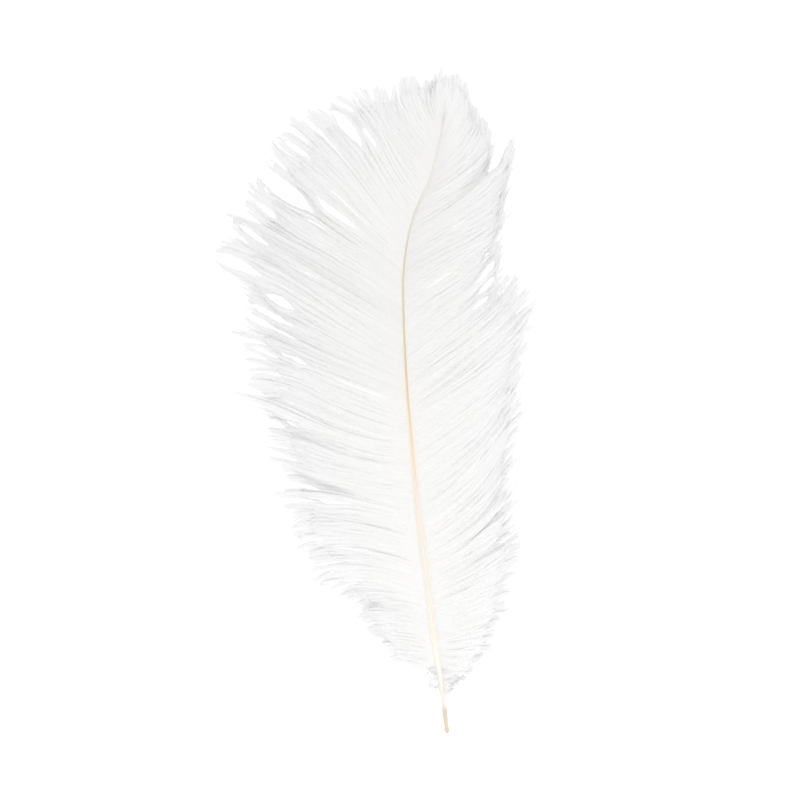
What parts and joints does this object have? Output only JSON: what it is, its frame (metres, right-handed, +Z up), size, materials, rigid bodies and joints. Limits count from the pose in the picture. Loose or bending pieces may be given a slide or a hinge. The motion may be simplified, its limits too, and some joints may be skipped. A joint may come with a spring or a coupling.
{
  "type": "ostrich feather",
  "caption": "Loose white plume lying flat: a slim curved shaft with a bare quill end, and a soft vane of drooping, pointed locks on each side.",
  "frame": {"origin": "on the surface that the feather lies on, under the centre of its outline", "axes": "+Y from the quill towards the tip, +X to the right seen from above, +Z up from the surface"},
  "size_m": [0.1442, 0.3008, 0.0172],
  "materials": {
    "vane": "soft white barbs, matt and slightly see-through against light",
    "shaft": "satin keratin, dark tan at the quill, cream low on the shaft and golden brown above"
  },
  "bodies": {
    "root": {"feather": "vane"}
  },
  "joints": []
}
